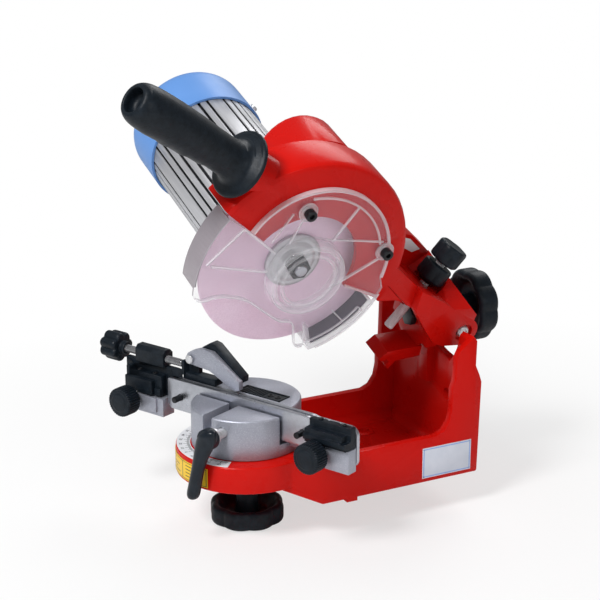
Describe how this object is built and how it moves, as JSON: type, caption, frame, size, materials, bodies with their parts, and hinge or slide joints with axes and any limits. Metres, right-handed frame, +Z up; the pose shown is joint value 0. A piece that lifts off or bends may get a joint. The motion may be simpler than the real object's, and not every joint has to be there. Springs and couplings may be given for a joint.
{
  "type": "bench grinder",
  "caption": "Bench grinder for saw chain: tilting motor head with a guarded disc wheel over a swivelling chain vise on a cast base.",
  "frame": {"origin": "middle of the underside of the base, on the bench top", "axes": "+X to the operator's right, +Y away from the operator, +Z up"},
  "size_m": [0.2613, 0.3376, 0.3641],
  "materials": {
    "red_paint": "gloss",
    "blue_plastic": "satin",
    "barrel_aluminium": "satin",
    "cast_aluminium": "cast, fine grain",
    "black_plastic": "matte",
    "green_plastic": "satin",
    "zinc_steel": "zinc plated",
    "bright_steel": "ground",
    "core_steel": "laminated",
    "pink_abrasive": "open grain",
    "dark_sheet": "satin",
    "black_steel": "black oxide",
    "clear_plastic": "clear",
    "white_label": "satin",
    "yellow_label": "satin",
    "grey_label": "satin"
  },
  "bodies": {
    "base": {"base_casting": "red_paint", "swivel_scale": "white_label", "rim_label": "yellow_label", "side_label": "grey_label"},
    "bracket": {"tilt_bracket": "red_paint", "tilt_stud": "zinc_steel", "pivot_pin_right": "zinc_steel", "pivot_pin_left": "zinc_steel", "return_spring": "bright_steel"},
    "tilt_clamp": {"tilt_knob": "black_plastic"},
    "head": {"wheel_housing": "red_paint", "depth_scale": "white_label", "clear_guard": "clear_plastic", "guard_bolt_top": "black_steel", "guard_bolt_side": "black_steel", "handle": "black_plastic", "motor_barrel": "barrel_aluminium", "motor_rear_plate": "cast_aluminium", "motor_end_cap": "blue_plastic", "cable_gland": "black_plastic", "stator": "core_steel", "front_bearing": "bright_steel", "rear_bearing": "bright_steel", "cap_screw": "zinc_steel", "spark_plate": "dark_sheet", "switch_body": "black_plastic"},
    "rocker": {"switch_rocker": "green_plastic"},
    "spindle": {"motor_shaft": "bright_steel", "rotor": "core_steel", "cooling_fan": "black_plastic", "inner_flange": "bright_steel", "grinding_wheel": "pink_abrasive", "outer_flange": "barrel_aluminium", "spindle_nut": "black_steel"},
    "depth_stop": {"depth_screw": "zinc_steel", "depth_knob": "black_plastic"},
    "depth_lock": {"depth_lock_knob": "black_plastic"},
    "vise": {"vise_drum": "cast_aluminium", "rear_jaw": "barrel_aluminium", "swivel_stud": "zinc_steel", "chain_rest": "black_plastic", "stop_rail": "black_plastic", "left_foot": "cast_aluminium", "right_block": "black_plastic", "right_bracket": "cast_aluminium", "jaw_stud_left": "black_steel", "jaw_stud_right": "black_steel", "stop_block": "black_plastic"},
    "front_jaw": {"front_jaw": "barrel_aluminium"},
    "cam": {"cam_lever": "black_plastic", "cam_stud": "zinc_steel"},
    "left_clamp": {"left_clamp_knob": "black_plastic"},
    "right_clamp": {"right_clamp_knob": "black_plastic"},
    "stop_screw": {"stop_rod": "zinc_steel", "stop_knob": "black_plastic"},
    "carriage": {"stop_carriage": "black_plastic", "pawl_pin": "zinc_steel"},
    "pawl": {"pawl_arm": "cast_aluminium", "pawl_pad": "black_plastic"},
    "swivel_clamp": {"swivel_lock_knob": "black_plastic"}
  },
  "joints": [
    {"name": "head_tilt", "type": "hinge", "parent": "base", "child": "bracket", "pos_m": [0, 0.05, 0.116], "axis": [0, 1, 0], "range_deg": [-20, 15]},
    {"name": "tilt_clamp_turn", "type": "hinge", "parent": "bracket", "child": "tilt_clamp", "pos_m": [0, 0.11, 0.116], "axis": [0, 1, 0], "range_deg": [0, 270]},
    {"name": "head_lower", "type": "hinge", "parent": "bracket", "child": "head", "pos_m": [0.00171, 0.07, 0.1207], "axis": [0.9397, 0, -0.342], "range_deg": [0, 13], "stiffness_Nm_per_rad": 8, "springref_deg": -85.94},
    {"name": "wheel_spin", "type": "hinge", "parent": "head", "child": "spindle", "pos_m": [0.02893, -0.0835, 0.1955], "axis": [0.9397, 0, -0.342], "continuous": true},
    {"name": "switch_press", "type": "hinge", "parent": "head", "child": "rocker", "pos_m": [0.01021, -0.062, 0.26978], "axis": [0, 1, 0], "range_deg": [0, 12]},
    {"name": "depth_set", "type": "slide", "parent": "head", "child": "depth_stop", "axis": [0.2875, 0.5417, 0.7899], "range_m": [0, 0.008]},
    {"name": "depth_lock_turn", "type": "hinge", "parent": "head", "child": "depth_lock", "pos_m": [0.02169, 0.04759, 0.15219], "axis": [0.2875, 0.5417, 0.7899], "range_deg": [0, 270]},
    {"name": "vise_swivel", "type": "hinge", "parent": "base", "child": "vise", "pos_m": [0, -0.1, 0.036], "axis": [0, 0, 1], "range_deg": [-55, 5]},
    {"name": "jaw_close", "type": "slide", "parent": "vise", "child": "front_jaw", "axis": [0.4226, -0.9063, 0], "range_m": [0, 0.0016]},
    {"name": "cam_turn", "type": "hinge", "parent": "vise", "child": "cam", "pos_m": [0.03315, -0.14743, 0.058], "axis": [-0.4226, 0.9063, 0], "range_deg": [0, 90]},
    {"name": "left_clamp_turn", "type": "hinge", "parent": "vise", "child": "left_clamp", "pos_m": [-0.08278, -0.16619, 0.052], "axis": [-0.4226, 0.9063, 0], "range_deg": [0, 270]},
    {"name": "right_clamp_turn", "type": "hinge", "parent": "vise", "child": "right_clamp", "pos_m": [0.08307, -0.08885, 0.051], "axis": [-0.4226, 0.9063, 0], "range_deg": [0, 270]},
    {"name": "stop_set", "type": "slide", "parent": "vise", "child": "stop_screw", "axis": [0.9063, 0.4226, 0], "range_m": [-0.006, 0.003]},
    {"name": "carriage_slide", "type": "slide", "parent": "vise", "child": "carriage", "axis": [0.9063, 0.4226, 0], "range_m": [-0.006, 0.003]},
    {"name": "pawl_lift", "type": "hinge", "parent": "carriage", "child": "pawl", "pos_m": [-0.04713, -0.12198, 0.092], "axis": [0.4226, -0.9063, 0], "range_deg": [0, 75]},
    {"name": "swivel_clamp_turn", "type": "hinge", "parent": "vise", "child": "swivel_clamp", "pos_m": [0, -0.1, -0.015], "axis": [0, 0, 1], "range_deg": [0, 270]}
  ],
  "couplings": [
    {"joint": "jaw_close", "follows": "cam_turn", "m_per_rad": 0.001},
    {"joint": "carriage_slide", "follows": "stop_set", "ratio": 1}
  ]
}
